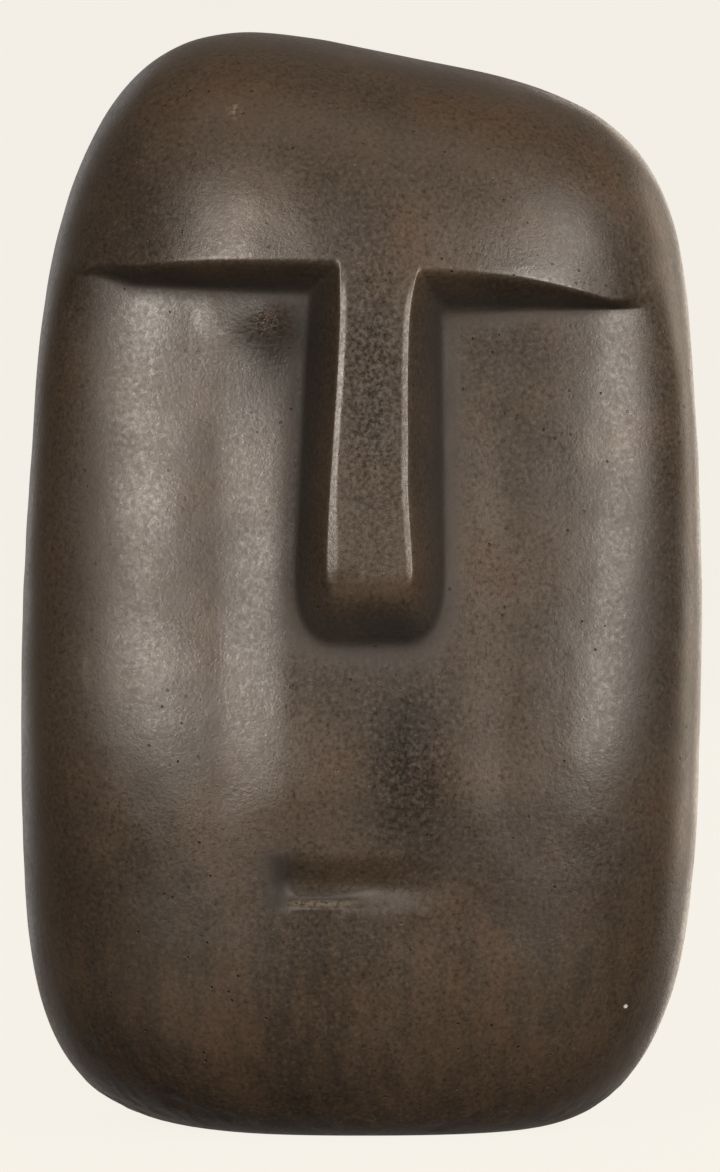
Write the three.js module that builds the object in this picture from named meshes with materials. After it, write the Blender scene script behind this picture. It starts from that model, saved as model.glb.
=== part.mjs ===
import * as THREE from "three";

// A stylised moai head, one solid block of dark stone that stands upright on its own flat foot.
// Millimetres, +Z up. The face looks along -Y and +X is to the viewer's right. The origin is on
// the surface that the head stands on, under the middle of its bounding box.
//
// The head is a stack of rings. Each ring is a superellipse whose four half-extents (left, right,
// front and back) are functions of the height. The front of each ring is then carved: the cheeks
// are sunk under the brow, which leaves the brow's ledge and the nose standing as one raised T.

// The block
const BLOCK_HEIGHT = 292.1; // before the crown is sloped
const FOOT_CUT = 0.8; // thickness ground off the rounded underside, which leaves the flat foot
const LEFT = {
  reach: 92.1, // widest half-extent
  bow: 4.5, // what the side draws in 100 mm above or below its widest height
  widest: 103, // height where the side is widest
  crownStart: 188.4, // height where the crown starts to round over
  crownShape: [2.86, 3.3], // exponents of the crown's curve along the height and across it
  footInset: 62.4, // how far the rounded underside draws in
  footStart: 75.8, // height where the underside starts to round
  footShape: 3.3, // exponent of the underside's curve
};
const RIGHT = {
  reach: 92.2,
  bow: 3.95,
  widest: 135,
  crownStart: 204.8,
  crownShape: [4.97, 4.43],
  footInset: 44.2,
  footStart: 77.3,
  footShape: 2.62,
};
const FRONT = {
  reach: 59,
  bow: 1.5,
  widest: 85,
  crownStart: 168,
  crownShape: [4.4, 2.0],
  footInset: 33.4,
  footStart: 56,
  footShape: 2.22,
};
const BACK = {
  reach: 52,
  bow: 2,
  widest: 130,
  crownStart: 170,
  crownShape: [3.0, 2.4],
  footInset: 30,
  footStart: 52,
  footShape: 2.4,
};
const CROWN_SLOPE = 0.203; // the crown falls this much for each millimetre to the right
const CROWN_SLOPE_RISE = [149, 313]; // heights between which the slope comes in
const CROWN_HINGE = 5.2; // distance right of the middle where the slope changes nothing

// The rings' outline: larger exponents are boxier
const CHIN_EXPONENT = 2.4;
const CHEEK_EXPONENT = 3.7; // flat cheeks, turning quickly to the sides
const BACK_EXPONENT = 2.8;
const CROWN_EXPONENT = 2.25;
const CHEEK_RISE = [30, 130]; // heights over which the chin's outline turns into the cheeks'
const CROWN_RISE = [160, 245]; // and the cheeks' into the crown's

// The carving
const BROW_LINE = { left: 227.65, right: 223.6 }; // where the ledge meets the cheek
const BROW_TILT = 0.0378; // fall of the left line for each millimetre to the right
const BROW_STEP = [-8, 12]; // distances between which the line steps from left to right
const BROW_LIFT = { rise: 2.4, reach: [58, 74] }; // lift of the line at its outer left end
const LEDGE = {
  left: { height: 8, end: 73.5, shape: [2, 0.45], beyond: [72, 90] }, // tapering bluntly
  right: { height: 10, end: 76, shape: [3, 1.4], beyond: [70, 90] }, // tapering to a point
};
const LEDGE_BEYOND = 16; // height of the soft slope that takes its place past its ends
const LEDGE_MIN = 0.3; // least height of its slope
const CHEEK_SINK = 16; // depth of the cheek behind the brow
const CHEEK_FALL = 155; // height over which that depth dies out
const CHEEK_BLEND = 2.5; // width of the rounded ridge where the cheek meets the head's side,
const CHEEK_BLEND_SHARE = 0.25; // at most this share of the depth there
const LEAST_BLEND = 1e-6;

// The nose: a front plate on a wider base
const NOSE_TIP = 150.3; // height of the plate's lower edge
const NOSE_ROOT = 234; // height where the plate runs into the brow
const NOSE_UNDER = 15.2; // height of the sloping underside
const NOSE_UNDER_SHAPE = 1.4; // exponent that makes the underside steeper towards its foot
const NOSE_LIFT = 7; // how far the tip stands out past the line of the forehead and chin
const NOSE_LIFT_RISE = 85; // height over which that dies out above the tip
const NOSE_LIFT_EDGE = [0.8, 1.3]; // and the share of the slope over which it does sideways
const PLATE = { left: -9.4, right: 14 }; // the plate's edges at the tip
const PLATE_DRAW = { left: 3.7, right: 1.3 }; // what each edge draws in on the way up
const PLATE_DRAW_END = { left: 1, right: 0.38 }; // share of the nose's height where it has done so
const PLATE_FLARE = 2.5; // flare of the right edge where it meets the brow
const PLATE_FLARE_SHAPE = 10;
const BASE = { left: -17.8, right: 22.5 }; // the base's edges at the tip
const BASE_DRAW = { left: 4.4, right: 1.1 };
const NOSE_CORNER = 2.2; // exponent of the corners between the sides and the underside
const NOSE_CORNER_START = 0.4; // share of the slope over which a corner is rounded
// The middle of the face rises gently out of the cheeks, from under the brow to the mouth
const KEEL = { rise: 2.5, left: [18, 39], right: [22, 44], top: [185, 215], bottom: [62, 100] };
const UPPER_ROUND = 0.16; // rounding of the raised T's upper edges, as a share of its slope
const LOWER_ROUND = 0.14;
const MITRE = 0.25; // rounding where the ledge's slope meets the nose's

// The mouth: a groove with a round left end that fades out to the right
const MOUTH = { height: 72.5, half: 5.3, left: -17.2, fadeFrom: -5, fadeTo: 40, depth: 2.8 };
const LIP = { lower: 1.2, upper: 6 }; // widths of the groove's lower and upper walls

// The mesh: columns follow the nose's four edges, and rings are closer together at the carving
const FACE_COLUMNS = [17, 5, 4, 5, 17]; // left cheek, slope, plate, slope, right cheek
const BACK_COLUMNS = 32;
const RINGS = 60;
const CLOSE_RINGS = [
  { height: 230, spread: 7, gain: 5 },
  { height: 144, spread: 12, gain: 1.2 },
  { height: 73, spread: 7, gain: 2.4 },
];
const BROW_RING = { height: 226, spread: 26, side: 0.5 }; // rings near it run along the brow line
const PROFILE_STEPS = 2000;
const EDGE_RANGE = [60, 240]; // past these heights the columns draw in with the outline

const STONE = new THREE.MeshStandardMaterial({ color: 0x4a3d32, roughness: 0.42, metalness: 0 });

const { abs, cos, max, min, sin, PI } = Math;
const clamp = (value) => min(max(value, 0), 1);
const smooth = (value) => clamp(value) ** 2 * (3 - 2 * clamp(value));
const rise = ([from, to], value) => smooth((value - from) / (to - from));

// The smaller of two values, with the corner between them rounded over a width.
function softMin(a, b, width) {
  return min(a, b) - max(width - abs(a - b), 0) ** 2 / (4 * width);
}

// Half-extent of the block at a height: a bowed side, rounded over at the crown and at the foot.
function extent(side, height) {
  const over = clamp((height - side.crownStart) / (BLOCK_HEIGHT - side.crownStart));
  const crown = (1 - over ** side.crownShape[0]) ** (1 / side.crownShape[1]);
  const under = clamp((side.footStart - height) / side.footStart);
  const foot = side.footInset * (1 - (1 - under ** side.footShape) ** (1 / side.footShape));
  const bowed = side.reach - side.bow * ((height - side.widest) / 100) ** 2;
  return max(bowed * crown - foot, 0);
}

// Exponent of the outline at a height below the brow.
function lowerExponent(middle, height) {
  return CHIN_EXPONENT + (middle - CHIN_EXPONENT) * rise(CHEEK_RISE, height);
}

// Exponent of the ring's outline at a height, with the exponent of its middle part.
function ringExponent(middle, height) {
  return lowerExponent(middle, height) + (CROWN_EXPONENT - middle) * rise(CROWN_RISE, height);
}

// The superellipse's other coordinate.
function rounded(across, exponent) {
  return clamp(1 - abs(across) ** exponent) ** (1 / exponent);
}

// 0 at the top of a slope and 1 at its foot, with both ends rounded.
function slope(position) {
  const bend = (value, round) => {
    if (value <= -round) return 0;
    return value >= round ? value : (value + round) ** 2 / (4 * round);
  };
  return bend(position, UPPER_ROUND) - bend(position - 1, LOWER_ROUND);
}

// The four edges of the nose at a height: base and plate on the left, plate and base on the right.
function noseEdges(height) {
  const up = clamp((height - NOSE_TIP) / (NOSE_ROOT - NOSE_TIP));
  const flare = PLATE_FLARE * up ** PLATE_FLARE_SHAPE;
  return [
    BASE.left + BASE_DRAW.left * up,
    PLATE.left + PLATE_DRAW.left * smooth(up / PLATE_DRAW_END.left),
    PLATE.right - PLATE_DRAW.right * smooth(up / PLATE_DRAW_END.right) + flare,
    BASE.right - BASE_DRAW.right * up,
  ];
}

// Position on the nose's slopes: below 0 on the plate, 0 at its edge, 1 at the base, more beyond.
function nosePosition(x, height) {
  const [baseLeft, plateLeft, plateRight, baseRight] = noseEdges(height);
  const left = (plateLeft - x) / (plateLeft - baseLeft);
  const right = (x - plateRight) / (baseRight - plateRight);
  const across = max(left, right);
  const below = (NOSE_TIP - height) / NOSE_UNDER;
  const down = below > 0 ? below ** NOSE_UNDER_SHAPE : below;
  if (across <= -NOSE_CORNER_START || down <= -NOSE_CORNER_START) return max(across, down);
  const a = (across + NOSE_CORNER_START) ** NOSE_CORNER;
  const b = (down + NOSE_CORNER_START) ** NOSE_CORNER;
  return (a + b) ** (1 / NOSE_CORNER) - NOSE_CORNER_START;
}

// Depth of the mouth's groove.
function mouth(x, height) {
  const beyond = max(MOUTH.left - x, 0) / MOUTH.half;
  const round = Math.sqrt(clamp(1 - beyond ** 2));
  const fade = 1 - rise([MOUTH.fadeFrom, MOUTH.fadeTo], x);
  const lower = smooth((height - MOUTH.height + MOUTH.half * round) / LIP.lower);
  const upper = smooth((MOUTH.height + MOUTH.half * round - height) / LIP.upper);
  return MOUTH.depth * fade * round * lower * upper;
}

// Height where the ledge meets the cheek.
function browLine(x) {
  const left = BROW_LINE.left - BROW_TILT * x + BROW_LIFT.rise * rise(BROW_LIFT.reach, -x);
  return left + (BROW_LINE.right - left) * rise(BROW_STEP, x);
}

// How far the sunk cheeks stand out in front of the head's middle plane.
function cheeks(x, level, across, height, outer) {
  const sink = CHEEK_SINK * (1 - smooth((browLine(x) - level) / CHEEK_FALL));
  const flat = rounded(across, lowerExponent(CHEEK_EXPONENT, height));
  const sunk = flat * (extent(FRONT, height) - sink);
  const blend = max(min(CHEEK_BLEND, outer * CHEEK_BLEND_SHARE), LEAST_BLEND);
  const keel = 1 - rise(x < 0 ? KEEL.left : KEEL.right, abs(x));
  const tall = (1 - rise(KEEL.top, level)) * rise(KEEL.bottom, level);
  return softMin(outer, sunk, blend) + KEEL.rise * keel * tall;
}

// How far the face stands out in front of the head's middle plane.
function face(x, level, across, height, outer) {
  const { height: full, end, shape, beyond } = x < 0 ? LEDGE.left : LEDGE.right;
  const taper = (1 - clamp(abs(x) / end) ** shape[0]) ** shape[1];
  const ledge = full * taper + LEDGE_MIN + LEDGE_BEYOND * rise(beyond, abs(x));
  const onLedge = (browLine(x) + ledge - level) / ledge;
  const onNose = nosePosition(x, level);
  const low = cheeks(x, level, across, height, outer);
  const lift = NOSE_LIFT * (1 - smooth((level - NOSE_TIP) / NOSE_LIFT_RISE));
  const high = outer + lift * (1 - rise(NOSE_LIFT_EDGE, onNose));
  const down = slope(softMin(onLedge, onNose, MITRE));
  return high + (low - high) * down - mouth(x, level);
}

// How far the crown's slope lowers a point of the ring at a height.
function crownFall(x, height) {
  return CROWN_SLOPE * (x - CROWN_HINGE) * rise(CROWN_SLOPE_RISE, height);
}

// Place on a ring's outline at an angle round it (0 at the middle of the face): the shares of
// the half-extents across and forward, and the distance across in millimetres.
function outline(angle, height) {
  const exponent = ringExponent(cos(angle) > 0 ? CHEEK_EXPONENT : BACK_EXPONENT, height);
  const size = (abs(sin(angle)) ** exponent + abs(cos(angle)) ** exponent) ** (-1 / exponent);
  const across = sin(angle) * size;
  return [across, cos(angle) * size, across * extent(across < 0 ? LEFT : RIGHT, height)];
}

// One point of the head at an angle round it and a height.
function surfacePoint(angle, height) {
  const [across, forward, x] = outline(angle, height);
  const level = height - crownFall(x, height);
  const y = forward > 0
    ? -face(x, level, across, height, forward * extent(FRONT, height))
    : -forward * extent(BACK, height);
  return [x, y, level - FOOT_CUT];
}

// Height of a ring at an angle: a ring near the brow runs along the ledge's foot, not across it.
function ringHeight(angle, height) {
  const away = (height - BROW_RING.height) / BROW_RING.spread;
  const near = Math.exp(-(away ** 2)) * smooth(cos(angle) / BROW_RING.side);
  const [, , x] = outline(angle, height);
  return height + near * (browLine(x) + crownFall(x, height) - BROW_RING.height);
}

// Angles of the columns in a ring: even steps between the head's side, the nose's edges and the
// other side, then round the back.
function columnAngles(height) {
  const exponent = ringExponent(CHEEK_EXPONENT, height);
  const level = min(max(height, EDGE_RANGE[0]), EDGE_RANGE[1]);
  const edges = noseEdges(height).map((x) => {
    const across = x / extent(x < 0 ? LEFT : RIGHT, level);
    return Math.atan2(across, rounded(across, exponent));
  });
  const stops = [-PI / 2, ...edges, PI / 2, (3 * PI) / 2];
  const angles = [];
  [...FACE_COLUMNS, BACK_COLUMNS].forEach((count, strip) => {
    for (let column = 0; column < count; column += 1) {
      angles.push(stops[strip] + ((stops[strip + 1] - stops[strip]) * column) / count);
    }
  });
  return angles;
}

// Heights of the rings: even steps along the outline, closer together where the carving is fine.
function ringHeights() {
  const heights = [FOOT_CUT];
  const travelled = [0];
  for (let step = 1; step <= PROFILE_STEPS; step += 1) {
    const height = FOOT_CUT + ((BLOCK_HEIGHT - FOOT_CUT) * step) / PROFILE_STEPS;
    const previous = heights[step - 1];
    const across = extent(RIGHT, height) - extent(RIGHT, previous);
    let weight = 1;
    for (const band of CLOSE_RINGS) {
      weight += band.gain * Math.exp(-(((height - band.height) / band.spread) ** 2));
    }
    heights.push(height);
    travelled.push(travelled[step - 1] + weight * Math.hypot(height - previous, across));
  }
  const rings = [];
  let step = 0;
  for (let ring = 0; ring < RINGS; ring += 1) {
    const wanted = (travelled[PROFILE_STEPS] * ring) / RINGS;
    while (travelled[step + 1] < wanted) step += 1;
    rings.push(heights[step]);
  }
  return rings;
}

// The closed surface: rings joined by quads, a flat foot below and the crown's tip above.
function headGeometry() {
  const points = [];
  const faces = [];
  let columns = 0;
  for (const height of ringHeights()) {
    const angles = columnAngles(height);
    columns = angles.length;
    for (const angle of angles) points.push(...surfacePoint(angle, ringHeight(angle, height)));
  }
  const foot = points.length / 3;
  const tip = foot + 1;
  const last = (RINGS - 1) * columns;
  points.push(0, 0, 0);
  points.push(...surfacePoint(0, BLOCK_HEIGHT));
  const plateMiddle = FACE_COLUMNS[0] + FACE_COLUMNS[1] + FACE_COLUMNS[2] / 2;
  for (let column = 0; column < columns; column += 1) {
    const next = (column + 1) % columns;
    faces.push(foot, next, column);
    for (let low = 0; low < last; low += columns) {
      const high = low + columns;
      const corners = [low + column, low + next, high + next, high + column];
      // Each quad is cut along the diagonal that falls away from the nose, as the ledges do
      const [a, b, c, d] = column < plateMiddle ? corners : [...corners.slice(1), corners[0]];
      faces.push(a, b, c);
      faces.push(a, c, d);
    }
    faces.push(tip, last + column, last + next);
  }
  const geometry = new THREE.BufferGeometry();
  geometry.setAttribute("position", new THREE.Float32BufferAttribute(points, 3));
  geometry.setIndex(faces);
  geometry.computeBoundingBox();
  const middle = geometry.boundingBox.getCenter(new THREE.Vector3());
  geometry.translate(-middle.x, -middle.y, -geometry.boundingBox.min.z);
  geometry.computeVertexNormals();
  return geometry;
}

const head = new THREE.Mesh(headGeometry(), STONE);
head.name = "moai_head";

const statue = new THREE.Group();
statue.add(head);

export default statue;
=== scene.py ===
# %% [markdown]
# # A stylised moai head in dark, waxed stone
#
# The statue is one block of stone: a tall head with a sloping crown, a brow that overhangs the
# cheeks, a long nose with a flat front, and a short groove for a mouth. It has no eyes and no
# plinth, and it stands on its own flat foot.
#
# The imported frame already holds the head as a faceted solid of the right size. This lesson
# works out the same form again on a fine grid, adds what a mason's hand and a mould leave on
# it, gives it its finish, and puts it in a plain studio.

# %% Load the frame
import math

import bpy
import numpy as np
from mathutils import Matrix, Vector


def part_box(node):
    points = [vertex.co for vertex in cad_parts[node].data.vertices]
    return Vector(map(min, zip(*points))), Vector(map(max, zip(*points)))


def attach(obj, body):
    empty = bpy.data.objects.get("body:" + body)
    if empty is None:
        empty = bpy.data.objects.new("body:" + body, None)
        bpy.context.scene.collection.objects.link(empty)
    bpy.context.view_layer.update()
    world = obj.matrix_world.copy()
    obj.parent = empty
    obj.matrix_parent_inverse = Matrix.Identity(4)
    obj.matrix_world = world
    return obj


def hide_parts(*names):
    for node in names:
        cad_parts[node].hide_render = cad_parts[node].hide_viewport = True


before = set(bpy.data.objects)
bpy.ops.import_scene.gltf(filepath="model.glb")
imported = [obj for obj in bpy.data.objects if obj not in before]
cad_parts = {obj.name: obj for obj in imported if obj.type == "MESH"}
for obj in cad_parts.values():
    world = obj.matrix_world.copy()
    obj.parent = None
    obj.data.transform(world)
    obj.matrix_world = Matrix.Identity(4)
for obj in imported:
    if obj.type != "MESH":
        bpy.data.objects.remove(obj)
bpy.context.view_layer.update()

foot_corner, crown_corner = (np.array(corner) * 1000.0 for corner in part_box("moai_head"))
print("head in the frame, mm:", foot_corner.round(1), crown_corner.round(1))

# %% [markdown]
# ## The block
#
# Cut the head across at any height and the outline is a rounded box. A superellipse gives
# such an outline from four half-extents (left, right, front and back) and one exponent: 2 is
# an ellipse and larger numbers are boxier. Sculpting the form by hand would also work, but
# then every later change is more sculpting. With formulas the whole head follows from a few
# sizes, and the outline can differ on the two sides as it does on the real one.
#
# Each half-extent is a bowed side that rounds over at the crown and again at the foot.

# %% Sizes of the block, in millimetres
BLOCK_HEIGHT = 292.1
FOOT_CUT = 0.8
SIDES = {
    "left": {
        "reach": 92.1, "bow": 4.5, "widest": 103.0,
        "crown_start": 188.4, "crown_along": 2.86, "crown_across": 3.3,
        "foot_inset": 62.4, "foot_start": 75.8, "foot_shape": 3.3,
    },
    "right": {
        "reach": 92.2, "bow": 3.95, "widest": 135.0,
        "crown_start": 204.8, "crown_along": 4.97, "crown_across": 4.43,
        "foot_inset": 44.2, "foot_start": 77.3, "foot_shape": 2.62,
    },
    "front": {
        "reach": 59.0, "bow": 1.5, "widest": 85.0,
        "crown_start": 168.0, "crown_along": 4.4, "crown_across": 2.0,
        "foot_inset": 33.4, "foot_start": 56.0, "foot_shape": 2.22,
    },
    "back": {
        "reach": 52.0, "bow": 2.0, "widest": 130.0,
        "crown_start": 170.0, "crown_along": 3.0, "crown_across": 2.4,
        "foot_inset": 30.0, "foot_start": 52.0, "foot_shape": 2.4,
    },
}


def smooth(share):
    """3 s^2 - 2 s^3 of a share held between 0 and 1: a step with soft ends."""
    held = np.clip(share, 0.0, 1.0)
    return held * held * (3.0 - 2.0 * held)


def rise(start, end, value):
    """The soft step, from 0 at start to 1 at end."""
    return smooth((value - start) / (end - start))


def extent(side, height):
    """Bowed side times the crown's superellipse, less the foot's quarter superellipse."""
    size = SIDES[side]
    over = np.clip((height - size["crown_start"]) / (BLOCK_HEIGHT - size["crown_start"]), 0.0, 1.0)
    crown = (1.0 - over ** size["crown_along"]) ** (1.0 / size["crown_across"])
    under = np.clip((size["foot_start"] - height) / size["foot_start"], 0.0, 1.0)
    shape = size["foot_shape"]
    foot = size["foot_inset"] * (1.0 - (1.0 - under ** shape) ** (1.0 / shape))
    bowed = size["reach"] - size["bow"] * ((height - size["widest"]) / 100.0) ** 2
    return np.maximum(bowed * crown - foot, 0.0)


for level in (10.0, 100.0, 230.0):
    print("half-extents at", level, {side: round(float(extent(side, level)), 1) for side in SIDES})

# %% [markdown]
# The outline is roundest at the chin and the crown and boxiest across the cheeks. The crown
# isn't level either: it falls towards the viewer's right. That slope comes in gradually
# above the brow, so it is a lean added to each point's height.

# %% Outline exponent and crown slope
CHIN_EXPONENT = 2.4
CHEEK_EXPONENT = 3.7
BACK_EXPONENT = 2.8
CROWN_EXPONENT = 2.25
ABOVE_CHIN = (30.0, 130.0)
BELOW_CROWN = (160.0, 245.0)
CROWN_SLOPE = 0.203
CROWN_HINGE = 5.2
SLOPE_COMES_IN = (149.0, 313.0)


def lower_exponent(middle, height):
    """The chin's exponent, rising to the middle part's."""
    return CHIN_EXPONENT + (middle - CHIN_EXPONENT) * rise(*ABOVE_CHIN, height)


def ring_exponent(middle, height):
    """The lower exponent, turning into the crown's."""
    return lower_exponent(middle, height) + (CROWN_EXPONENT - middle) * rise(*BELOW_CROWN, height)


def rounded(across, exponent):
    """The superellipse's other coordinate: (1 - |across|^exponent)^(1 / exponent)."""
    return np.clip(1.0 - np.abs(across) ** exponent, 0.0, 1.0) ** (1.0 / exponent)


def crown_fall(x, height):
    """Slope times the distance right of the hinge, brought in between two heights."""
    return CROWN_SLOPE * (x - CROWN_HINGE) * rise(*SLOPE_COMES_IN, height)


# %% [markdown]
# ## The carving
#
# The mason sinks the cheeks behind the brow and leaves the brow's ledge and the nose standing
# as one raised T. Two numbers say where a point lies on the T's sloping sides: 0 at the upper
# edge, 1 at the foot of the slope. One number is for the ledge and one is for the nose. The
# smaller of the two, with its corner rounded a little, holds for the T as a whole, and it
# gives the mitre where the ledge meets the nose for nothing.

# %% The ledge
BROW_LEFT = 227.65
BROW_RIGHT = 223.6
BROW_SLOPE = 0.0378
BROW_STEP = (-8.0, 12.0)
BROW_END_LIFT = 2.4
BROW_END = (58.0, 74.0)
LEDGE = {
    "left": {"height": 8.0, "end": 73.5, "shape": (2.0, 0.45), "beyond": (72.0, 90.0)},
    "right": {"height": 10.0, "end": 76.0, "shape": (3.0, 1.4), "beyond": (66.0, 92.0)},
}
LEDGE_LEAST = 0.3
LEDGE_BEYOND = 16.0


def brow_line(x):
    """Height of the ledge's foot: a straight line on each side, with a step under the nose."""
    left = BROW_LEFT - BROW_SLOPE * x + BROW_END_LIFT * rise(*BROW_END, -x)
    return left + (BROW_RIGHT - left) * rise(*BROW_STEP, x)


def taper(x, end, along, across):
    """(1 - (x / end)^along)^across: 1 in the middle and 0 at the end."""
    return (1.0 - np.clip(np.abs(x) / end, 0.0, 1.0) ** along) ** across


def ledge_height(side, x):
    """Height times the taper, plus a sliver, plus a tall soft step past the ledge's end."""
    size = LEDGE[side]
    height = size["height"] * taper(x, size["end"], *size["shape"])
    return height + LEDGE_LEAST + LEDGE_BEYOND * rise(*size["beyond"], np.abs(x))


def ledge_position(x, level):
    """0 at the ledge's upper edge, 1 at its foot; blunt at its left end, pointed at its right."""
    ledge = np.where(x < 0.0, ledge_height("left", x), ledge_height("right", x))
    return (brow_line(x) + ledge - level) / ledge


# %% [markdown]
# The cheeks lie deepest just under the brow and come forward again to meet the block at the
# chin. They are also flatter than the block. So the cheek is a second outline, sunk by an
# amount that fades downwards, and the smaller of the two outlines is the surface. Cutting a
# second solid away from the first would give the same form, but with a sharp line where the
# two meet. A broad low keel runs down the middle under the nose, and a little stone was left
# standing in the corners between brow and nose, where a chisel doesn't reach.

# %% The cheeks
CHEEK_SINK = 16.0
CHEEK_FADE = 155.0
CHEEK_BLEND = 2.5
CHEEK_BLEND_SHARE = 0.25
LEAST_BLEND = 1e-6
KEEL_LEFT = (18.0, 39.0)
KEEL_RIGHT = (22.0, 40.0)
KEEL_LEVELS = ((62.0, 100.0), (185.0, 215.0))
KEEL_HEIGHT = 1.1
KEEL_MORE = 1.0
KEEL_MORE_ACROSS = (20.0, -15.0)
LEFT_CORNER = {"height": 4.5, "reach": 15.0, "comes_in": (-46.0, -24.0)}
RIGHT_CORNER = {"height": 1.4, "reach": 4.5, "fades": (26.0, 44.0)}


def soft_min(first, second, width):
    """The smaller of two values, less (width - difference)^2 / (4 width) where they are close."""
    close = np.maximum(width - np.abs(first - second), 0.0)
    return np.minimum(first, second) - close ** 2 / (4.0 * width)


def keel_height(x, level):
    """Height, more to the left, times soft steps down at the sides, the mouth and the nose."""
    beside = np.where(x < 0.0, rise(*KEEL_LEFT, -x), rise(*KEEL_RIGHT, x))
    keel = (1.0 - beside) * (KEEL_HEIGHT + KEEL_MORE * rise(*KEEL_MORE_ACROSS, x))
    foot, top = KEEL_LEVELS
    return keel * ((1.0 - rise(*top, level)) * rise(*foot, level))


def corner_height(x, level):
    """Stone under the brow: height e^-(below/reach)^2 on the left, e^-(below/reach) right."""
    below = np.maximum(brow_line(x) - level, 0.0)
    left = LEFT_CORNER["height"] * np.exp(-((below / LEFT_CORNER["reach"]) ** 2))
    left = left * rise(*LEFT_CORNER["comes_in"], x) * (x < 0.0)
    right = RIGHT_CORNER["height"] * np.exp(-below / RIGHT_CORNER["reach"])
    right = right * (1.0 - rise(*RIGHT_CORNER["fades"], x)) * (x > 0.0)
    return left + right


def cheek_depth(x, level, across, height, outer):
    """The smaller of the block and a flatter, sunk outline, plus the keel and the corners."""
    sink = CHEEK_SINK * (1.0 - smooth((brow_line(x) - level) / CHEEK_FADE))
    flat = rounded(across, lower_exponent(CHEEK_EXPONENT, height))
    sunk = flat * (extent("front", height) - sink)
    blend = np.maximum(np.minimum(CHEEK_BLEND, outer * CHEEK_BLEND_SHARE), LEAST_BLEND)
    return soft_min(outer, sunk, blend) + keel_height(x, level) + corner_height(x, level)


# %% [markdown]
# The nose is a long plate, flat in front, on a base nearly twice as wide. Both draw in as
# they climb to the brow, the plate's right edge with a slight waist. A bevelled box would be
# a quick nose, but its edges would be straight. Here each edge is a formula of the height,
# so one edge can be moved and the rest left. Below the tip the slope runs on downwards, and
# the two slopes meet round a corner that is a superellipse too.

# %% The nose
NOSE_TIP = 150.3
NOSE_ROOT = 234.0
NOSE_UNDER = 15.2
UNDER_POWER = 1.4
NOSE_CORNER = 2.2
CORNER_START = 0.4
EDGES_AT_TIP = (-17.8, -9.4, 14.0, 22.5)
BASE_LEFT_IN = 4.4
PLATE_LEFT_IN = 3.7
PLATE_RIGHT_IN = 1.3
BASE_RIGHT_IN = 1.1
WAIST_UP = 0.38
FLARE = 2.5
FLARE_POWER = 10


def nose_edges(height):
    """Base, plate, plate and base from the left: the place at the tip, drawn in on the way up."""
    up = np.clip((height - NOSE_TIP) / (NOSE_ROOT - NOSE_TIP), 0.0, 1.0)
    base_left, plate_left, plate_right, base_right = EDGES_AT_TIP
    return (
        base_left + BASE_LEFT_IN * up,
        plate_left + PLATE_LEFT_IN * smooth(up),
        plate_right - PLATE_RIGHT_IN * smooth(up / WAIST_UP) + FLARE * up ** FLARE_POWER,
        base_right - BASE_RIGHT_IN * up,
    )


def nose_position(x, height):
    """Share of the slope from plate to base; at a corner (a^n + b^n)^(1/n) of the two shares."""
    base_left, plate_left, plate_right, base_right = nose_edges(height)
    left = (plate_left - x) / (plate_left - base_left)
    right = (x - plate_right) / (base_right - plate_right)
    across = np.maximum(left, right)
    below = (NOSE_TIP - height) / NOSE_UNDER
    down = np.where(below > 0.0, np.maximum(below, 0.0) ** UNDER_POWER, below)
    out_across = np.maximum(across + CORNER_START, 0.0)
    out_down = np.maximum(down + CORNER_START, 0.0)
    corner = (out_across ** NOSE_CORNER + out_down ** NOSE_CORNER) ** (1.0 / NOSE_CORNER)
    at_corner = (across > -CORNER_START) & (down > -CORNER_START)
    return np.where(at_corner, corner - CORNER_START, np.maximum(across, down))


# %% [markdown]
# The mouth is one stroke of a gouge, held low: the wall above is long and soft, the one below
# is short and steep, and the stroke fades out to the right. Its depth is the product of four
# soft steps, one for each side. A groove with the same section all along would be easier to
# describe, but it would look milled. The left part of the lower lip is thick and has been
# polished by touch, so it gets a low bead.

# %% The mouth
MOUTH_HEIGHT = 72.5
MOUTH_DEPTH = 3.0
MOUTH_TOP = 7.6
UPPER_WALL = 9.0
MOUTH_SILL = -6.5
LOWER_WALL = 1.6
LOWER_WALL_MORE = 6.4
WIDER_TO_RIGHT = (-10.0, 6.0)
WIDER_TO_LEFT = (-16.0, -22.0)
SILL_LIFT = 1.6
SILL_LIFT_ACROSS = (-16.0, -23.0)
MOUTH_LEFT = -25.2
LEFT_WALL = 6.5
MOUTH_FADE = (-12.0, 30.0)
LIP_BEAD = 0.25
LIP_ABOVE_SILL = 0.5
LIP_REACH = 0.5
LIP_COMES_IN = (-20.5, -16.0)
LIP_FADES = (-9.0, 3.0)


def mouth_floor(x, height):
    """Share of the groove's depth: the soft steps of its four sides, multiplied."""
    up = height - MOUTH_HEIGHT
    upper = rise(MOUTH_TOP, MOUTH_TOP - UPPER_WALL, up)
    wider = LOWER_WALL_MORE * rise(*WIDER_TO_RIGHT, x) + LOWER_WALL_MORE * rise(*WIDER_TO_LEFT, x)
    middle = MOUTH_SILL + LOWER_WALL / 2.0 + SILL_LIFT * rise(*SILL_LIFT_ACROSS, x)
    lower = rise(-0.5, 0.5, (up - middle) / (LOWER_WALL + wider))
    left = rise(MOUTH_LEFT, MOUTH_LEFT + LEFT_WALL, x)
    return upper * lower * left * (1.0 - rise(*MOUTH_FADE, x))


def mouth_lip(x, height):
    """1 along the left part of the groove's lower edge, falling off as a bell across it."""
    across = (height - MOUTH_HEIGHT - MOUTH_SILL - LIP_ABOVE_SILL) / LIP_REACH
    return np.exp(-(across ** 2)) * rise(*LIP_COMES_IN, x) * (1.0 - rise(*LIP_FADES, x))


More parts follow.
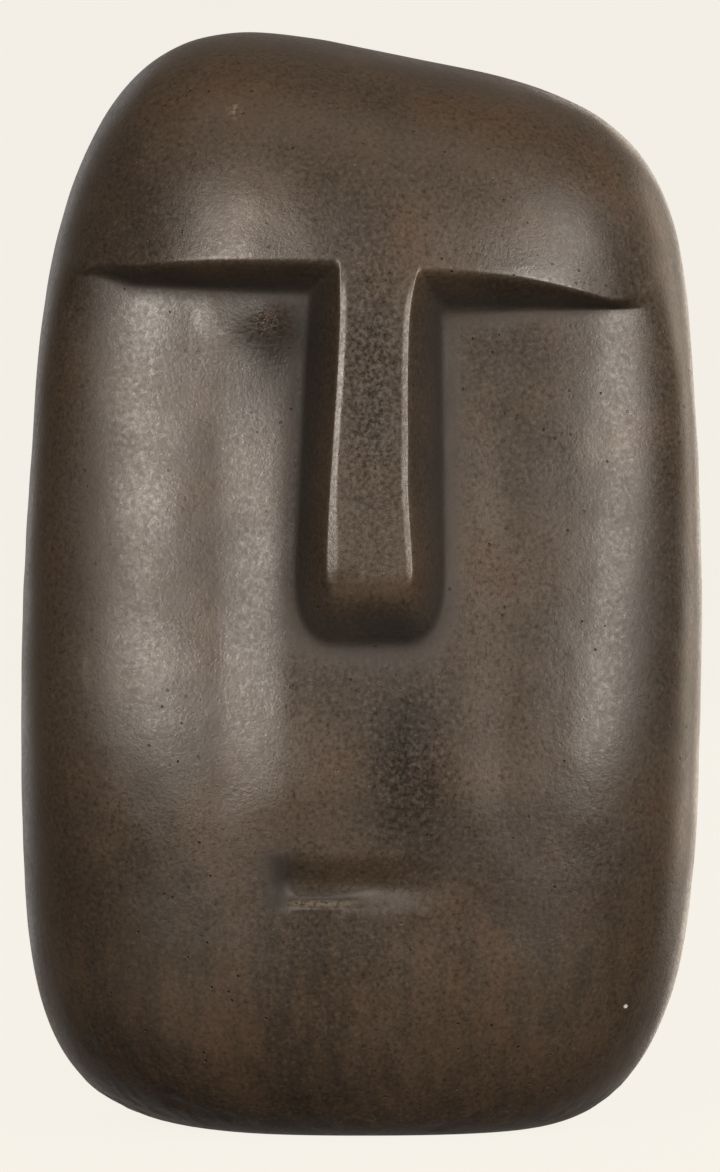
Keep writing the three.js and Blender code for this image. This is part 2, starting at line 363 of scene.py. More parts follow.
def mouth_depth(x, height):
    """The groove, with a low bead along its lip."""
    return MOUTH_DEPTH * mouth_floor(x, height) - LIP_BEAD * mouth_lip(x, height)


# %% [markdown]
# The face is then the block's surface, lifted towards the nose's tip, dropping down the
# slopes to the sunken cheek. A slope that starts and ends with a kink would look machined, so
# each end is bent over a share of it: more at the upper edge, which hands and cloths have
# worn, than at the foot.

# %% The whole face
UPPER_ROUND = 0.16
LOWER_ROUND = 0.14
MITRE = 0.25
NOSE_BLEND = 0.4
NOSE_ROUND = 0.06
NOSE_CRISP = (152.0, 146.0)
NOSE_LIFT = 7.0
NOSE_LIFT_UP = 85.0
NOSE_LIFT_ENDS = (0.8, 1.3)
EDGE_DEPTH = 0.56
EDGE_REACH = 0.24
EDGE_REACH_MORE = 0.14
EDGE_REACH_LEVELS = (185.0, 155.0)
EDGE_ROUND = 0.2
EDGE_ENDS = (222.0, 236.0)


def bend(value, width):
    """0 below -width, the value itself above width, and a parabola between."""
    return np.where(value > width, value, np.maximum(value + width, 0.0) ** 2 / (4.0 * width))


def carving_position(x, level):
    """The smaller of the ledge's and the nose's positions, rounded where they are close."""
    return soft_min(ledge_position(x, level), nose_position(x, level), MITRE)


def nose_share(x, level):
    """1 where the nose's slope is what shows and 0 where the ledge's is."""
    return smooth((ledge_position(x, level) - nose_position(x, level)) / NOSE_BLEND + 0.5)


def worn_edge(x, level):
    """A flat worn along the plate's edges: 0 inside, 1 from the edge on, gone at the brow."""
    reach = EDGE_REACH + EDGE_REACH_MORE * rise(*EDGE_REACH_LEVELS, level) * (x < 0.0)
    inside = bend(nose_position(x, level) / reach + 1.0, EDGE_ROUND)
    return np.minimum(inside, 1.0) * reach / EDGE_REACH * (1.0 - rise(*EDGE_ENDS, level))


def face_depth(x, level, across, height, outer):
    """The block and the nose's lift above, the cheeks below, and the slope between."""
    position = carving_position(x, level)
    low = cheek_depth(x, level, across, height, outer)
    lift = NOSE_LIFT * (1.0 - smooth((level - NOSE_TIP) / NOSE_LIFT_UP))
    high = outer + lift * (1.0 - rise(*NOSE_LIFT_ENDS, nose_position(x, level)))
    high = high - EDGE_DEPTH * worn_edge(x, level)
    crisp = nose_share(x, level) * (1.0 - rise(*NOSE_CRISP, level))
    upper = UPPER_ROUND + (NOSE_ROUND - UPPER_ROUND) * crisp
    down = bend(position, upper) - bend(position - 1.0, LOWER_ROUND)
    return high + (low - high) * down - mouth_depth(x, level)


# %% [markdown]
# ## The grid
#
# A grid of quads wraps round the head. Its columns aren't evenly spaced: four of them lie
# exactly on the nose's edges, which keeps those edges straight and crisp, and the back needs
# few. Its rings are close together at the ledge, the nose's tip and the mouth: decide how
# much detail each height needs, add that up along the way, and cut the total into equal
# steps. An even grid is simpler, but it needs far more points for the same edges.

# %% Heights of the rings
RINGS = 262
FINE_STEPS = 6001
CLOSE_RINGS = (
    # height, spread, extra rings
    (231.0, 10.0, 3.0),
    (144.0, 13.0, 1.2),
    (73.0, 7.0, 2.4),
)

fine = np.linspace(FOOT_CUT, BLOCK_HEIGHT, FINE_STEPS)
need = 1.0 + sum(gain * np.exp(-((fine - at) / spread) ** 2) for at, spread, gain in CLOSE_RINGS)
steps = np.hypot(np.diff(fine), np.diff(extent("right", fine))) * (need[1:] + need[:-1]) / 2.0
travelled = np.concatenate([[0.0], np.cumsum(steps)])
heights = np.interp(np.linspace(0.0, travelled[-1], RINGS + 1)[:-1], travelled, fine)[:, None]
print(RINGS, "rings, widest gap", round(float(np.diff(heights[:, 0]).max()), 2), "mm")

# %% [markdown]
# Going round from the left side, the strips of columns are the left cheek, the nose's left
# slope, its plate, its right slope, the right cheek and the back. A number of columns for
# each strip puts the detail where it shows, and on the plate the columns crowd towards its
# two edges.

# %% Angles of the columns
STRIPS = (96, 20, 48, 24, 96, 92)
CROWDED = (0.0, 0.0, 0.7, 0.0, 0.0, 0.0)
NOSE_LEVELS = (60.0, 240.0)


def edge_angle(x, height):
    """Angle round the ring of a point at x: across is x over the half-extent near the nose."""
    level = np.clip(height, *NOSE_LEVELS)
    across = x / np.where(x < 0.0, extent("left", level), extent("right", level))
    return np.arctan2(across, rounded(across, ring_exponent(CHEEK_EXPONENT, height)))


def crowd(share, ends):
    """Even steps when ends is 0; with larger ends the steps near 0 and 1 are closer together."""
    return share - ends * np.sin(2.0 * math.pi * share) / (2.0 * math.pi)


edges = [edge_angle(x, heights) for x in nose_edges(heights)]
side = np.full_like(heights, math.pi / 2.0)
stops = [-side, *edges, side, 3.0 * side]
angles = np.concatenate(
    [
        low + (high - low) * crowd(np.arange(count) / count, ends)
        for low, high, count, ends in zip(stops[:-1], stops[1:], STRIPS, CROWDED)
    ],
    axis=1,
)
print("grid:", angles.shape, "quads:", angles.size)

# %% [markdown]
# Now every grid point has a height and an angle, and the formulas above give its place. In
# front the depth is the face's, behind it is the plain outline's. The crown's slope comes off
# the height first, and the face is worked out at the lowered level. A modifier could shrink
# the mesh onto the faceted solid, but that would bring the facets along. Instead the head is
# only moved, so that the middles of the two boxes agree.


# %% Points of the head
def ring_points(angles, heights):
    """Superellipse at each height, with the face's depth in front; the crown's fall off z."""
    sine, cosine = np.sin(angles), np.cos(angles)
    middle = np.where(cosine > 0.0, CHEEK_EXPONENT, BACK_EXPONENT)
    exponent = ring_exponent(middle, heights)
    size = (np.abs(sine) ** exponent + np.abs(cosine) ** exponent) ** (-1.0 / exponent)
    across, forward = sine * size, cosine * size
    x = across * np.where(across < 0.0, extent("left", heights), extent("right", heights))
    level = heights - crown_fall(x, heights)
    outer = np.maximum(forward, 0.0) * extent("front", heights)
    front = -face_depth(x, level, across, heights, outer)
    y = np.where(forward > 0.0, front, -forward * extent("back", heights))
    return np.stack([x, y, level - FOOT_CUT], axis=-1)


head = ring_points(angles, heights)
tip = ring_points(np.zeros((1, 1)), np.full((1, 1), BLOCK_HEIGHT))[0, 0]
shift = (foot_corner + crown_corner) / 2.0 - (head.min((0, 1)) + head.max((0, 1))) / 2.0
shift[2] = 0.0
print("middle of the box moves by", shift.round(2), "mm")

# %% [markdown]
# ## What the hand and the mould leave
#
# A perfect formula looks like plastic. The real surface wanders by a few tenths of a
# millimetre: long swells from shaping, shorter ones from rubbing it smooth. Adding up waves
# in many directions gives such a surface, and because each wave is a function of the
# position in space it has no seam anywhere. The points move along their normals.
#
# The bottom edge has been set down and dragged for years, so it is rougher than the rest and
# has lost a few chips. The foot itself stays flat, or the statue would rock.

# %% Normals of the grid, and waves
SEED = 11
LONG_SWELL = 0.10
SHORT_SWELL = 0.03
DRAGGED = 0.12
DRAGGED_UP = (5.0, 16.0)
FLAT_FOOT = 8.0

rng = np.random.default_rng(SEED)


def grid_normals(points):
    """Cross product of the steps to the neighbours along a ring and up a column."""
    along = np.roll(points, -1, axis=1) - np.roll(points, 1, axis=1)
    up = np.gradient(points, axis=0)
    normal = np.cross(along, up)
    return normal / np.linalg.norm(normal, axis=-1, keepdims=True)


def waves(points, shortest, longest, count=48):
    """Sum of cosines with random directions, phases and lengths, scaled to spread 1."""
    direction = rng.normal(size=(count, 3))
    direction /= np.linalg.norm(direction, axis=1, keepdims=True)
    length = np.exp(rng.uniform(np.log(shortest), np.log(longest), count))
    phase = rng.uniform(0.0, 2.0 * math.pi, count)
    total = np.zeros(points.shape[:-1])
    for turn, reach, start in zip(direction, length, phase):
        total += np.cos(points @ turn * (2.0 * math.pi / reach) + start)
    return total / math.sqrt(count / 2.0)


def dent(points, centre, reach, depth):
    """depth (1 - d^2)^2, where d is the distance from a centre as a share of the reach."""
    away = (points - np.array(centre)) / np.array(reach)
    return depth * np.clip(1.0 - (away ** 2).sum(axis=-1), 0.0, 1.0) ** 2


normals = grid_normals(head)
above_foot = smooth(head[..., 2] / FLAT_FOOT)
swell = LONG_SWELL * waves(head, 30.0, 75.0) + SHORT_SWELL * waves(head, 9.0, 20.0)
dragged = DRAGGED * waves(head, 3.0, 9.0) * (1.0 - rise(*DRAGGED_UP, head[..., 2]))
relief = (swell + dragged) * above_foot
print("swells and scrapes, mm:", round(float(relief.min()), 2), "to", round(float(relief.max()), 2))

# %% [markdown]
# A chip is a shallow smooth bowl pushed in along the normals. Cutting with a rough ball would
# give sharper chips, but it would break the even grid, and these edges have been worn soft.
# Six chips are along the bottom edge, one is under the mouth, and two pits lie where the
# finish has its blotch and its scuff.

# %% Chips and dents
CHIPS = (
    # centre, reach along each axis, depth
    ((-72.9, -32.4, 24.8), (4.0, 6.0, 3.0), 0.55),
    ((-78.0, -25.0, 36.0), (3.0, 5.0, 2.5), 0.35),
    ((-50.0, -37.0, 9.4), (6.0, 5.0, 2.4), 0.6),
    ((-36.0, -38.0, 6.0), (3.0, 4.0, 2.0), 0.4),
    ((21.0, -37.0, 2.8), (4.0, 4.0, 2.2), 0.5),
    ((57.0, -30.0, 14.0), (3.5, 5.0, 2.5), 0.4),
    ((-5.6, -58.9, 63.6), (2.2, 6.0, 1.6), 0.35),
    ((-25.0, -40.7, 219.9), (2.6, 6.0, 2.6), 0.25),
    ((-33.6, -34.0, 275.0), (1.6, 6.0, 2.4), 0.2),
)
for centre, reach, depth in CHIPS:
    relief = relief - dent(head, centre, reach, depth)
head = head + normals * relief[..., None]
print("relief, mm:", round(float(relief.min()), 2), "to", round(float(relief.max()), 2))

# %% [markdown]
# ## From grid to mesh
#
# Neighbouring grid points become quads, and a fan of triangles closes the foot and the
# crown. Modifiers could thicken and subdivide a coarser mesh, but here the grid is already as
# fine as it needs to be, and from_pydata takes the arrays as they are.

# %% Build the mesh
rings, columns = angles.shape
numbers = np.arange(rings * columns).reshape(rings, columns)
right_of = np.roll(numbers, -1, axis=1)
quads = np.stack([numbers[:-1], right_of[:-1], right_of[1:], numbers[1:]], axis=-1).reshape(-1, 4)
foot_number = rings * columns
tip_number = foot_number + 1
foot_fan = np.stack([np.full(columns, foot_number), right_of[0], numbers[0]], axis=-1)
tip_fan = np.stack([np.full(columns, tip_number), numbers[-1], right_of[-1]], axis=-1)
points = np.concatenate([head.reshape(-1, 3), [[0.0, 0.0, 0.0]], [tip]]) + shift

mesh = bpy.data.meshes.new("stone_head")
mesh.from_pydata(points / 1000.0, [], quads.tolist() + foot_fan.tolist() + tip_fan.tolist())
mesh.polygons.foreach_set("use_smooth", np.ones(len(mesh.polygons), dtype=bool))
print("triangles:", 2 * len(quads) + 2 * columns)

# %% [markdown]
# Three masks travel with the points as attributes, because the finish needs to know where the
# carving's edges and hollows are: hands polish the edges of the nose and the lower lip, and
# dust and wax stay dull in the hollows. The hollows, the nose's underside and the mouth's
# groove are also painted darker, as painted shade, and the lower lip's edge is painted pale,
# as a painted highlight over its wear. Painting these by hand would be quicker for one
# statue, but the masks follow the carving when a size changes.

# %% Masks of the edges and the hollows
FACE_TOP = 262.0
EDGE_ABOVE = 0.3
EDGE_BELOW = 0.05
EDGE_COMES_IN = (138.0, 150.0)
BROW_WEAR = 0.2
FOOT_AT = 0.85
FOOT_ABOVE = 0.5
FOOT_BELOW = 0.55
FOOT_FADES = (60.0, 76.0)
UNDER_LEVELS = (150.0, 140.0)
UNDER_COMES_IN = (0.0, 0.25)
UNDER_FADES = (0.95, 1.15)
GROOVE_SHARE = 0.6
GROOVE_DOWN = (-2.0, -4.5)
END_IN = 3.2
END_REACH = 3.6
END_LEVELS = (9.5, 6.0)

x = head[..., 0]
level = head[..., 2] + FOOT_CUT
position = carving_position(x, level)
in_front = (head[..., 1] < 0.0) * (heights < FACE_TOP)

edge = np.exp(-(np.where(position < 0.0, position / EDGE_ABOVE, position / EDGE_BELOW) ** 2))
wear = BROW_WEAR + (1.0 - BROW_WEAR) * nose_share(x, level)

# Painted shade: the feet of the slopes, the nose's underside and the mouth's groove are darkened in
# colour as well as dulled.
spread = np.where(position > FOOT_AT, FOOT_BELOW, FOOT_ABOVE)
slope_foot = np.exp(-(((np.clip(position, 0.0, 9.0) - FOOT_AT) / spread) ** 2))
on_slope = rise(*UNDER_COMES_IN, position) * (1.0 - rise(*UNDER_FADES, position))
under_nose = rise(*UNDER_LEVELS, level) * on_slope
carved = (1.0 - rise(*FOOT_FADES, np.abs(x))) * np.maximum(slope_foot, under_nose)

from_mouth = level - MOUTH_HEIGHT
groove = GROOVE_SHARE * mouth_floor(x, level) * rise(*GROOVE_DOWN, from_mouth)
left_end = np.exp(-(((x - MOUTH_LEFT - END_IN) / END_REACH) ** 2))
mouth = np.maximum(groove, left_end * rise(*END_LEVELS, np.abs(from_mouth)))

masks = {
    "worn_edge": in_front * wear * (rise(*EDGE_COMES_IN, level) * edge),
    "hollow_shade_and_dull": in_front * np.maximum(carved, mouth),
    # the lower lip's wear, also painted pale as a highlight
    "worn_lip_painted_highlight": mouth_lip(x, level),
}
for name, mask in masks.items():
    attribute = mesh.attributes.new(name, "FLOAT", "POINT")
    attribute.data.foreach_set("value", np.append(mask.reshape(-1), [0.0, 0.0]).astype(np.float32))
    print(name, "covers", round(float(mask.mean()) * 100.0, 2), "% of the points")

statue = bpy.data.objects.new("stone_head", mesh)
bpy.context.scene.collection.objects.link(statue)
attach(statue, "root")
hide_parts("moai_head")

# %% [markdown]
# ## Writing shader maths as Python
#
# Cycles can mix noises into a convincing stone, but dozens of Math nodes are hard to read.
# Wiring them by hand in the editor shows the result at once, yet leaves no formula behind.
# The class below wraps one output of a node. Adding or multiplying two wires adds the Math
# node that does it, and `node` adds any other node: first its settings, then the values or
# wires of its sockets.


# %% A wire that can be added and multiplied
class Wire:
    """One output socket, with + - * for single numbers and a soft ramp."""

    def __init__(self, tree, socket=None):
        self.tree = tree
        self.socket = socket

    def node(self, kind, settings=None, output=0, **inputs):
        """Add a node; an input is named by its socket, or i and its number."""
        made = self.tree.nodes.new("ShaderNode" + kind)
        for name, value in (settings or {}).items():
            setattr(made, name, value)
        for name, value in inputs.items():
            number = name[1:]
            key = int(number) if name[0] == "i" and number.isdigit() else name.replace("_", " ")
            if isinstance(value, Wire):
                self.tree.links.new(value.socket, made.inputs[key])
            else:
                made.inputs[key].default_value = value
        return Wire(self.tree, None if output is None else made.outputs[output])

    def maths(self, operation, first, second):
        """Add a Math node; each of its two inputs is a wire or a number."""
        return self.node("Math", {"operation": operation}, i0=first, i1=second)

    def __add__(self, other):
        return self.maths("ADD", self, other)

    __radd__ = __add__

    def __sub__(self, other):
        return self.maths("SUBTRACT", self, other)

    def __rsub__(self, other):
        return self.maths("SUBTRACT", other, self)

    def __mul__(self, other):
        return self.maths("MULTIPLY", self, other)

    __rmul__ = __mul__

    def ramp(self, start, end):
        """0 at start and 1 at end, with soft ends; start may be the larger of the two."""
        settings = {"interpolation_type": "SMOOTHSTEP"}
        return self.node("MapRange", settings, i0=self, From_Min=start, From_Max=end)


# %% [markdown]
# ## The finish
#
# The head is dark brown all through, rubbed and waxed to a satin shine. The colour isn't
# even: umber and warm brown drift into each other over a few centimetres, fine grains a
# millimetre across are lighter and darker, and where water has run down the chin and the
# forehead it has left faint upright streaks. Small round pores are scattered in groups. The
# shine is broken up too, by a skin like that of an orange.
#
# All of it is made from noise in the statue's own coordinates, in millimetres, so there is
# no seam and no picture to stretch. Painting a picture would give more control over each
# mark, but then the back and the top would need painting as well.

# %% Patterns in millimetres
DRAWN_OUT = 0.045

stone = bpy.data.materials.new("dark_waxed_stone")
stone.use_nodes = True
tree = stone.node_tree
tree.nodes.clear()
start = Wire(tree)
place = start.node("TexCoord", output="Object")
mm = start.node("VectorMath", {"operation": "SCALE"}, i0=place, Scale=1000.0)
upright = start.node("VectorMath", {"operation": "MULTIPLY"}, i0=mm, i1=(1.0, 1.0, DRAWN_OUT))


def grain(size, detail=2.0, roughness=0.5, where=mm):
    """Noise between about 0 and 1 whose blobs are size millimetres across."""
    inputs = {"Vector": where, "Scale": 1.0 / size, "Detail": detail, "Roughness": roughness}
    return start.node("TexNoise", **inputs)


def blend(share, below, above):
    """Mix two colours by a share."""
    return start.node("Mix", {"data_type": "RGBA"}, output=2, i0=share, i6=below, i7=above)


def spot(centre, reach):
    """1 at a place in millimetres, falling softly to 0 at its reach along each axis."""
    moved = tuple(float(v) for v in np.array(centre) + shift)
    away = start.node("VectorMath", {"operation": "SUBTRACT"}, i0=mm, i1=moved)
    share = start.node("VectorMath", {"operation": "DIVIDE"}, i0=away, i1=reach)
    length = start.node("VectorMath", {"operation": "LENGTH"}, output="Value", i0=share)
    return length.ramp(1.0, 0.0)


def mask(name):
    """One of the mesh's own masks."""
    return start.node("Attribute", {"attribute_name": name}, output="Fac")


# %% [markdown]
# The grains in the stone are seen three times: as a colour, as a change of shine and as
# relief. Noises made apart for each would look like three veils over each other. So every
# pattern is made once here, and colour, shine and relief share it.

# %% Patterns used more than once
patches = grain(48.0, 3.0).ramp(0.38, 0.64)
rust = grain(24.0, 4.0, 0.6).ramp(0.50, 0.74)
speckle = grain(1.15, 3.0, 0.65)
streaks = grain(5.0, 3.0, 0.6, upright)
peel = grain(1.35, 2.0, 0.55)
hollow_shade_and_dull = mask("hollow_shade_and_dull")
worn = mask("worn_edge")
# Painted highlight on the worn lower lip, broken up by the grain.
worn_lip_painted_highlight = mask("worn_lip_painted_highlight") * speckle.ramp(0.36, 0.56)
cells = start.node("TexVoronoi", output="Distance", Vector=mm, Scale=1.0 / 4.6)
pits = cells.ramp(0.10, 0.055) * grain(30.0).ramp(0.46, 0.58)
height_up = start.node("SeparateXYZ", output=2, i0=mm)
low_down = height_up.ramp(12.0, 1.0)
streaked = height_up.ramp(78.0, 48.0) + spot((56.0, -26.0, 258.0), (12.0, 34.0, 34.0))

# %% [markdown]
# The marks that make it this head and no other, and some painted light and shade: a reddish
# blotch and a dull smudge under the left brow, painted shade in that corner and down both
# sides, dark grain on the nose's plate, a darker rough patch between nose and mouth, forehead
# and brow polished by hands, a pale scuff near the crown, a scratch on the left side, a faint
# pale wash of painted light low down left and right, and a white fleck low down on the right.
#
# Each is a soft ball round a place on the skin, stretched along the axes, and most are broken
# up by the grain. Painting them on a picture would allow any outline, but real marks of this
# kind have soft, vague ones.

# %% Marks
blotch = spot((-25.0, -40.7, 219.9), (6.0, 12.0, 6.5)) * speckle.ramp(0.40, 0.60)
smudge = spot((-39.0, -42.0, 212.5), (15.0, 16.0, 7.0))
# Painted shadow under the left brow, in the corner beside the nose.
corner = spot((-24.0, -42.0, 216.0), (22.0, 26.0, 34.0))
# Painted shade down both sides of the face.
left_shade = spot((-72.0, -35.0, 160.0), (19.0, 36.0, 118.0))
right_shade = spot((74.0, -32.0, 122.0), (17.0, 34.0, 78.0))
side_shade = left_shade + right_shade
plate = spot((3.0, -60.0, 205.0), (15.0, 40.0, 62.0)) * speckle.ramp(0.66, 0.40)
left_polish = spot((-33.0, -52.0, 238.0), (46.0, 44.0, 30.0))
right_polish = spot((50.0, -48.0, 236.0), (34.0, 44.0, 28.0))
polish = left_polish * 0.3 + right_polish
lip = spot((13.0, -57.0, 101.0), (17.0, 24.0, 36.0))
scuff = spot((-33.6, -32.3, 275.0), (3.2, 9.0, 4.0)) * speckle.ramp(0.45, 0.60)
# Painted light: a pale wash low on the chin, left and right, in place of light from below.
painted_low_light_left = spot((-48.0, -45.0, 50.0), (34.0, 40.0, 34.0))
painted_low_light_right = spot((50.0, -45.0, 50.0), (26.0, 40.0, 34.0))
painted_low_light = painted_low_light_left + painted_low_light_right * 0.6
scratch = spot((-74.0, -42.5, 127.0), (5.0, 9.0, 13.0)) * streaks.ramp(0.45, 0.62)
fleck = spot((71.0, -36.9, 35.7), (0.9, 12.0, 0.9)).ramp(0.1, 0.6)

# %% [markdown]
# The colours go on one over the other, as washes would. Each layer is a pattern times how
# strongly it covers, and a colour. One big formula could do the same in fewer nodes, but a
# list can be read from the ground up and a layer taken out to see what it does.

# %% Colour
UMBER = (0.036, 0.026, 0.018, 1.0)
BROWN = (0.056, 0.039, 0.026, 1.0)
RUST = (0.072, 0.043, 0.026, 1.0)
GRIT = (0.120, 0.094, 0.070, 1.0)
# Dark of the stains, grains and pores, and of the painted shade in the corner, sides and hollows.
DARK_STAIN_AND_SHADE = (0.011, 0.0085, 0.0062, 1.0)
WORN = (0.110, 0.080, 0.056, 1.0)
PALE = (0.30, 0.26, 0.21, 1.0)
WHITE = (0.72, 0.68, 0.60, 1.0)

layers = (
    (rust * 0.55, RUST),
    (streaked * streaks.ramp(0.38, 0.66) * 0.22, DARK_STAIN_AND_SHADE),
    (streaked * streaks.ramp(0.60, 0.36) * 0.24, RUST),
    (speckle.ramp(0.50, 0.78) * 0.30, GRIT),
    (speckle.ramp(0.52, 0.26) * 0.55, DARK_STAIN_AND_SHADE),
    (lip * (speckle.ramp(0.76, 0.40) * 0.8 + streaks.ramp(0.42, 0.58) * 0.35), DARK_STAIN_AND_SHADE),
    # painted shadow in the brow's corner
    (corner * 0.90, DARK_STAIN_AND_SHADE),
    # painted shade down the sides, and the nose plate's dark grain
    (side_shade * 0.35 + plate * 0.65, DARK_STAIN_AND_SHADE),
    # painted shade in the carving's hollows, under the nose and in the mouth's groove
    (hollow_shade_and_dull * 0.75, DARK_STAIN_AND_SHADE),
    (worn * 0.18, WORN),
    # painted highlight along the lower lip's worn edge
    (worn_lip_painted_highlight * 0.5, PALE),
    (blotch * 0.7, RUST),
    (low_down * speckle.ramp(0.56, 0.70) * 0.25, PALE),
    # pale scuff and scratch, and painted light low on the chin
    (scuff * 0.55 + scratch * 0.22 + painted_low_light * 0.07, PALE),
    (pits, DARK_STAIN_AND_SHADE),
    (fleck, WHITE),
)
colour = blend(patches, UMBER, BROWN)
for share, wash in layers:
    colour = blend(share, colour, wash)
print(len(layers), "layers over umber and brown")

# %% [markdown]
# The shine is that of rubbed wax: about halfway between polished and matt, glossier on the
# nose's plate, over the brow, above the mouth and along the worn edges, duller in the
# hollows, down the sides and at the foot. The finest relief goes in as a bump, since it is a
# tenth of a millimetre deep: real geometry that fine would need millions of points and show
# nothing more.

# %% Shine and relief
WAXED = 0.37

roughness = WAXED + (grain(20.0, 3.0) - 0.5) * 0.20 + (peel - 0.5) * 0.22 + (speckle - 0.5) * 0.34
roughness = roughness + hollow_shade_and_dull * 0.38 + smudge * 0.07 - corner * 0.05 - lip * 0.06 - plate * 0.10
roughness = roughness + side_shade * 0.16 - polish * 0.07
roughness = roughness + low_down * 0.10 + scuff * 0.2 - worn * 0.05 - worn_lip_painted_highlight * 0.10
skin = peel * 0.060 + grain(0.6, 2.0) * 0.040 + grain(6.5, 2.0) * 0.07 - pits * 0.22
skin = skin + speckle * (lip + blotch) * 0.10 + streaked * streaks * 0.12
bump = start.node("Bump", Strength=1.0, Distance=0.001, Height=skin)
shader = start.node(
    "BsdfPrincipled",
    Base_Color=colour,
    Roughness=roughness,
    IOR=1.5,
    Normal=bump,
)
start.node("OutputMaterial", output=None, Surface=shader)
mesh.materials.append(stone)
print("the finish takes", len(tree.nodes), "nodes")

# %% [markdown]
# ## The studio
#
# The statue stands on pale paper that curves up all round it, like the inside of a wide bowl,
# so there is no horizon from any side. A flat wall behind would do for one view only. The
# paper glows a little, which keeps its tone even. It doesn't throw light back up at the
# statue, since the undersides of the brow and nose are deep in shade.

# %% Floor and backdrop
CREAM = (0.905, 0.871, 0.799)
PAPER_SHADE = 0.05
PAPER_GLOW = 0.985
FLAT_OUT_TO = 7.0
BEND_RADIUS = 3.0
BOWL_HEIGHT = 9.0
BOWL_PANELS = 96
BEND_STEPS = 13


def paper(name, colour, shade, glow):
    """A matt material: a share of the colour answers the lamps and a share glows."""
    made = bpy.data.materials.new(name)
    made.use_nodes = True
    matt = made.node_tree.nodes["Principled BSDF"]
    matt.inputs["Base Color"].default_value = (*(channel * shade for channel in colour), 1.0)
    matt.inputs["Roughness"].default_value = 0.9
    matt.inputs["Specular IOR Level"].default_value = 0.0
    matt.inputs["Emission Color"].default_value = (*colour, 1.0)
    matt.inputs["Emission Strength"].default_value = glow
    return made


quarter = np.linspace(0.0, math.pi / 2.0, BEND_STEPS)
wall_at = FLAT_OUT_TO + BEND_RADIUS
out = np.concatenate([[0.3, 3.0], FLAT_OUT_TO + BEND_RADIUS * np.sin(quarter), [wall_at]])
curve = BEND_RADIUS - BEND_RADIUS * np.cos(quarter)
climb = np.concatenate([[0.0, 0.0], curve, [BOWL_HEIGHT]])
around = np.linspace(0.0, 2.0 * math.pi, BOWL_PANELS, endpoint=False)[:, None]
bowl = np.stack([out * np.cos(around), out * np.sin(around), climb + 0.0 * around], axis=-1)
index = np.arange(BOWL_PANELS * len(out)).reshape(BOWL_PANELS, len(out))
ahead = np.roll(index, -1, axis=0)
panels = np.stack([index[:, :-1], index[:, 1:], ahead[:, 1:], ahead[:, :-1]], axis=-1)
panels = panels.reshape(-1, 4)
floor_mesh = bpy.data.meshes.new("studio_floor")
floor_mesh.from_pydata(bowl.reshape(-1, 3), [], panels.tolist() + [index[:, 0].tolist()])
floor_mesh.polygons.foreach_set("use_smooth", np.ones(len(panels) + 1, dtype=bool))
floor_mesh.materials.append(paper("pale_paper", CREAM, PAPER_SHADE, PAPER_GLOW))
floor = bpy.data.objects.new("studio_floor", floor_mesh)
bpy.context.scene.collection.objects.link(floor)
floor.visible_diffuse = False
floor.visible_glossy = False
print("paper bowl:", len(panels) + 1, "panels,", 2.0 * wall_at, "m across")

# %% [markdown]
# The camera looks at the middle of the head from straight in front and a little above, from
# two metres away. That far back the head is seen almost without perspective, as by someone
# who stands across the room from it. A nearer camera would swell the nose.

# %% Camera
CAMERA_DISTANCE = 2.0
CAMERA_RISE = math.radians(4.0)
FRAME_HEIGHT = 0.3188
SENSOR = 36.0

aim = Vector((-0.0003, 0.0065, 0.1462))
camera = bpy.data.cameras.new("camera")
camera.sensor_width = SENSOR
camera.lens = SENSOR * CAMERA_DISTANCE / FRAME_HEIGHT
camera_object = bpy.data.objects.new("camera", camera)
bpy.context.scene.collection.objects.link(camera_object)
away = Vector((0.0, -math.cos(CAMERA_RISE), math.sin(CAMERA_RISE)))
camera_object.location = aim + away * CAMERA_DISTANCE
camera_object.rotation_euler = (math.pi / 2.0 - CAMERA_RISE, 0.0, 0.0)
bpy.context.scene.camera = camera_object
print("lens:", round(camera.lens, 1), "mm at", CAMERA_DISTANCE, "m")

# %% [markdown]
# A satin surface shows whatever lights it as broad soft highlights, so where the lamps stand
# matters more than how strong they are. A tall softbox like a window stands to the left and a
# little above the eyes, and two more stand to the right, one of them higher and further
# round. Long low ones reach the chin, and a weak one overhead picks out the crown. Three more
# stand behind the statue, turned towards it like lit sheets of card, and put a soft rim on
# its sides. Small bare lamps would be simpler, but a satin skin answers them with hard glints.

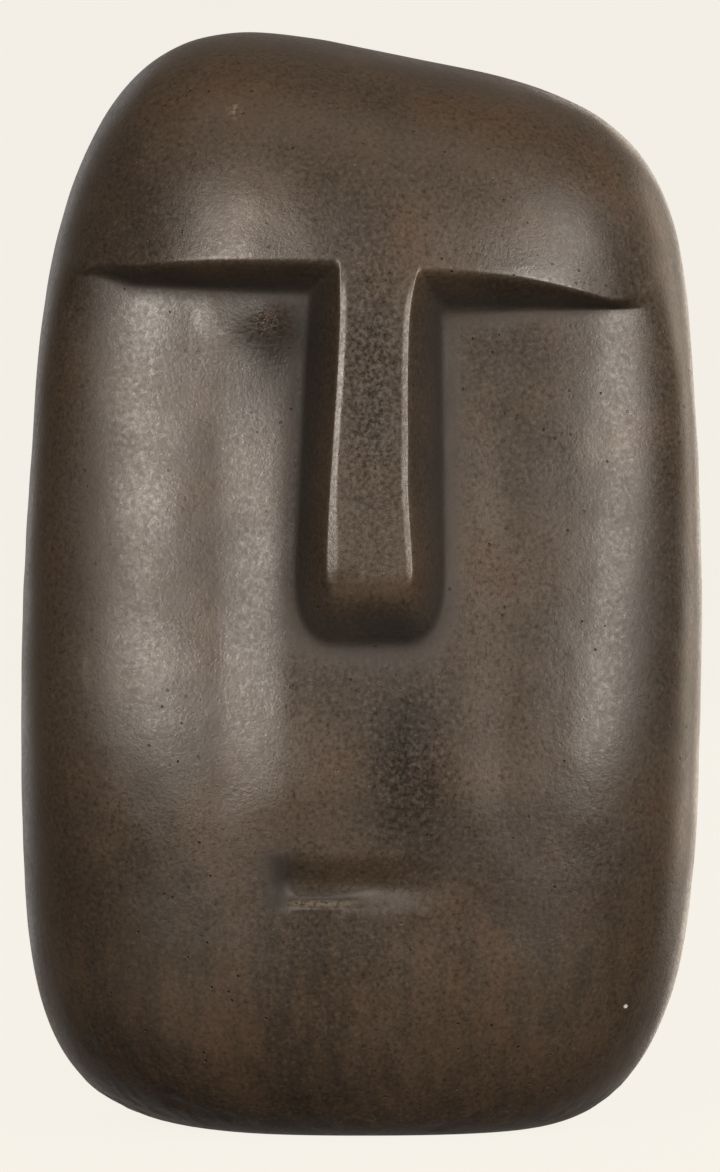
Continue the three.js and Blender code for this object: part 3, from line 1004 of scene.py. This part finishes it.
# %% Lights
WARM = (1.0, 0.91, 0.82)
GOLD = (1.0, 0.84, 0.68)
AMBER = (1.0, 0.86, 0.72)
COOL = (0.95, 0.97, 1.0)
LAMPS = (
    # name, bearing and climb in degrees, distance, width and height in metres, watts, tint
    ("window", -25.5, 18.5, 1.5, 0.38, 0.58, 13.0, WARM),
    ("low_left", -24.0, 3.5, 1.5, 0.50, 0.20, 3.8, WARM),
    ("low_right", 32.0, 3.5, 1.5, 0.40, 0.20, 1.2, WARM),
    ("card", 39.0, 11.0, 1.5, 0.44, 0.70, 14.6, WARM),
    ("reflector", 57.0, 32.0, 1.5, 0.36, 0.50, 5.5, WARM),
    ("overhead", 0.0, 68.0, 1.4, 1.6, 0.5, 2.0, WARM),
    ("right_paper", 122.0, 6.0, 1.3, 0.6, 1.1, 5.2, GOLD),
    ("right_edge", 158.0, 4.0, 1.3, 0.5, 1.1, 3.5, AMBER),
    ("left_paper", -150.0, 8.0, 1.3, 0.5, 1.1, 0.8, COOL),
)


def softbox(name, bearing, climb, distance, width, height, power, tint):
    """A rectangular light at a bearing from the camera's side and a climb, aimed at the head."""
    lamp = bpy.data.lights.new(name, "AREA")
    lamp.shape = "RECTANGLE"
    lamp.size = width
    lamp.size_y = height
    lamp.energy = power
    lamp.color = tint
    made = bpy.data.objects.new(name, lamp)
    bpy.context.scene.collection.objects.link(made)
    turn, lift = math.radians(bearing), math.radians(climb)
    flat = math.cos(lift)
    towards = Vector((math.sin(turn) * flat, -math.cos(turn) * flat, math.sin(lift)))
    made.location = aim + towards * distance
    made.rotation_euler = towards.to_track_quat("Z", "Y").to_euler()


for lamp in LAMPS:
    softbox(*lamp)
print(len(LAMPS), "lamps,", round(sum(lamp[6] for lamp in LAMPS), 1), "watts in all")

# %% [markdown]
# The room itself gives the last weak light. It is brighter behind the head than in front,
# so the sides, which see more of what is behind, don't go black. An even grey would lift the
# shade under the brow as well. The Standard view shows the colours as they were mixed, while
# a film-like one would grey the paper.

# %% The room
ROOM_LIGHT = 0.032
ROOM_BEHIND = 0.36

world = bpy.data.worlds.new("room")
bpy.context.scene.world = world
world.use_nodes = True
background = world.node_tree.nodes["Background"]
room = Wire(world.node_tree)
direction = room.node("TexCoord", output="Generated")
behind = room.node("SeparateXYZ", output=1, i0=direction).ramp(0.1, 1.0)
strength = behind * ROOM_BEHIND + ROOM_LIGHT
background.inputs["Color"].default_value = (*WARM, 1.0)
world.node_tree.links.new(strength.socket, background.inputs["Strength"])
bpy.context.scene.view_settings.view_transform = "Standard"

# %% [markdown]
# ## The end
#
# The last step brings the scene up to date.

# %% Bring the scene up to date
bpy.context.view_layer.update()
